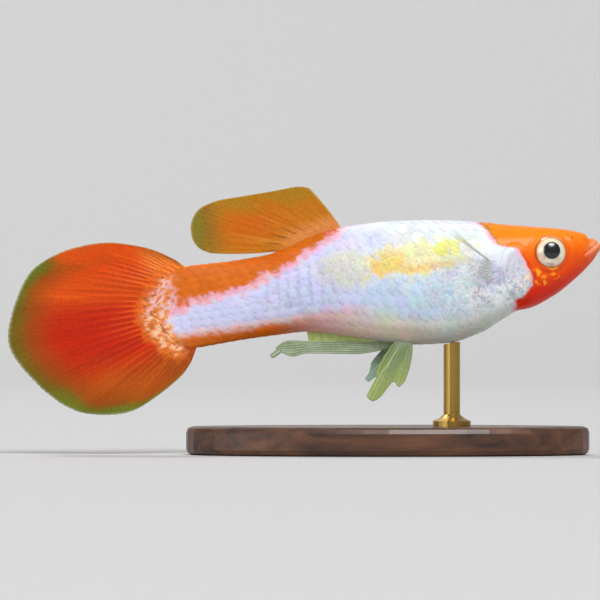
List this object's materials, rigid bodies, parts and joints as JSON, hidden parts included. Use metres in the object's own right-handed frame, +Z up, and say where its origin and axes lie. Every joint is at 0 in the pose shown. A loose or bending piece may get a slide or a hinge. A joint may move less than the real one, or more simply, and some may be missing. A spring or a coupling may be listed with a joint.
{
  "type": "fancy guppy display model",
  "caption": "Life-size still model of a male fancy guppy with a round tail fin and drawn-out belly fins, held level by a rod on a small oval stand",
  "frame": {"origin": "Middle of the whole model's length and width on the underside of the stand's base", "axes": "+X towards the fish's snout, +Y towards its left flank, +Z up"},
  "size_m": [0.0501, 0.016, 0.0226],
  "materials": {
    "cap": "glossy wet skin, orange",
    "pearl": "glossy wet scales, pearl white",
    "stalk": "glossy wet scales, white streaked with orange",
    "flame_fin": "translucent rayed membrane, red orange",
    "amber_fin": "translucent rayed membrane, amber",
    "clear_fin": "near-clear rayed membrane",
    "green_fin": "translucent rayed membrane, grey green",
    "eye": "wet, glossy",
    "walnut": "waxed dark wood",
    "brass": "satin brass"
  },
  "bodies": {
    "root": {"head": "cap", "lower_jaw": "cap", "gill_cover_right": "pearl", "gill_cover_left": "pearl", "eye_right": "eye", "eye_left": "eye", "trunk": "pearl", "tail_stalk": "stalk", "dorsal_fin": "amber_fin", "caudal_fin": "flame_fin", "pectoral_fin_right": "clear_fin", "pectoral_fin_left": "clear_fin", "pelvic_fin_right": "green_fin", "pelvic_fin_left": "green_fin", "gonopodium": "green_fin", "stand_base": "walnut", "stand_rod": "brass"}
  },
  "joints": []
}
